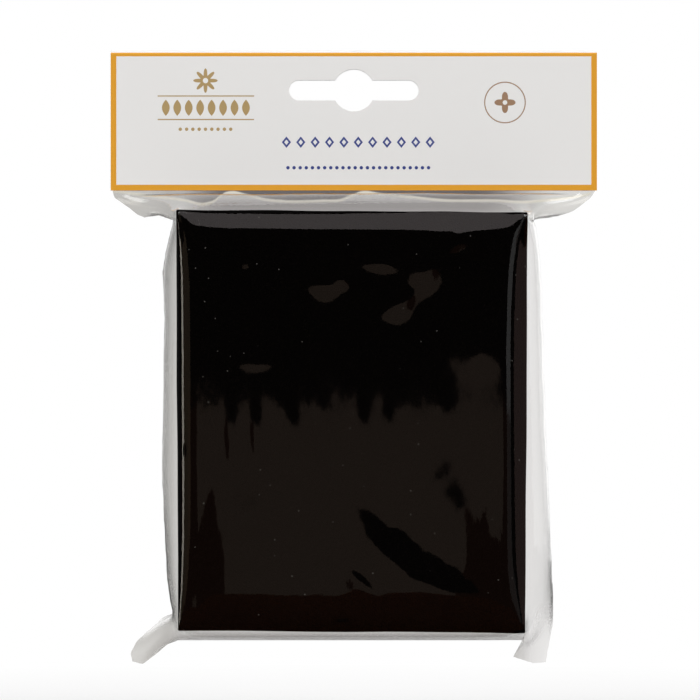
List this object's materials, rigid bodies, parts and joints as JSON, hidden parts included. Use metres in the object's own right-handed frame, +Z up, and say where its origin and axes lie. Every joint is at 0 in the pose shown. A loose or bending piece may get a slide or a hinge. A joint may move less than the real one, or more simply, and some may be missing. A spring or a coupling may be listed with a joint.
{
  "type": "packed craft foam pad",
  "caption": "Block of black fine-cell craft foam in a clear film bag, closed by a folded card with a euro hang slot.",
  "frame": {"origin": "middle of the hang slot, halfway through the folded card", "axes": "+Z up as the pack hangs, +X to the right seen from the front, front face towards -Y"},
  "size_m": [0.12, 0.0312, 0.1519],
  "materials": {
    "card": "white coated card with a printed golden-orange border",
    "film": "thin clear crinkled polypropylene film, glossy",
    "glue": "dried clear-amber glue line",
    "foam": "fine-cell black foam, cut faces"
  },
  "bodies": {
    "header": {"header_card": "card", "bag_mouth": "film", "glue_strip_front": "glue", "glue_strip_back": "glue"},
    "pack": {"bag": "film", "foam_pad": "foam"}
  },
  "joints": [
    {"name": "neck_fold", "type": "hinge", "parent": "header", "child": "pack", "pos_m": [0, 0, -0.0253], "axis": [1, 0, 0], "range_deg": [-90, 90]}
  ]
}
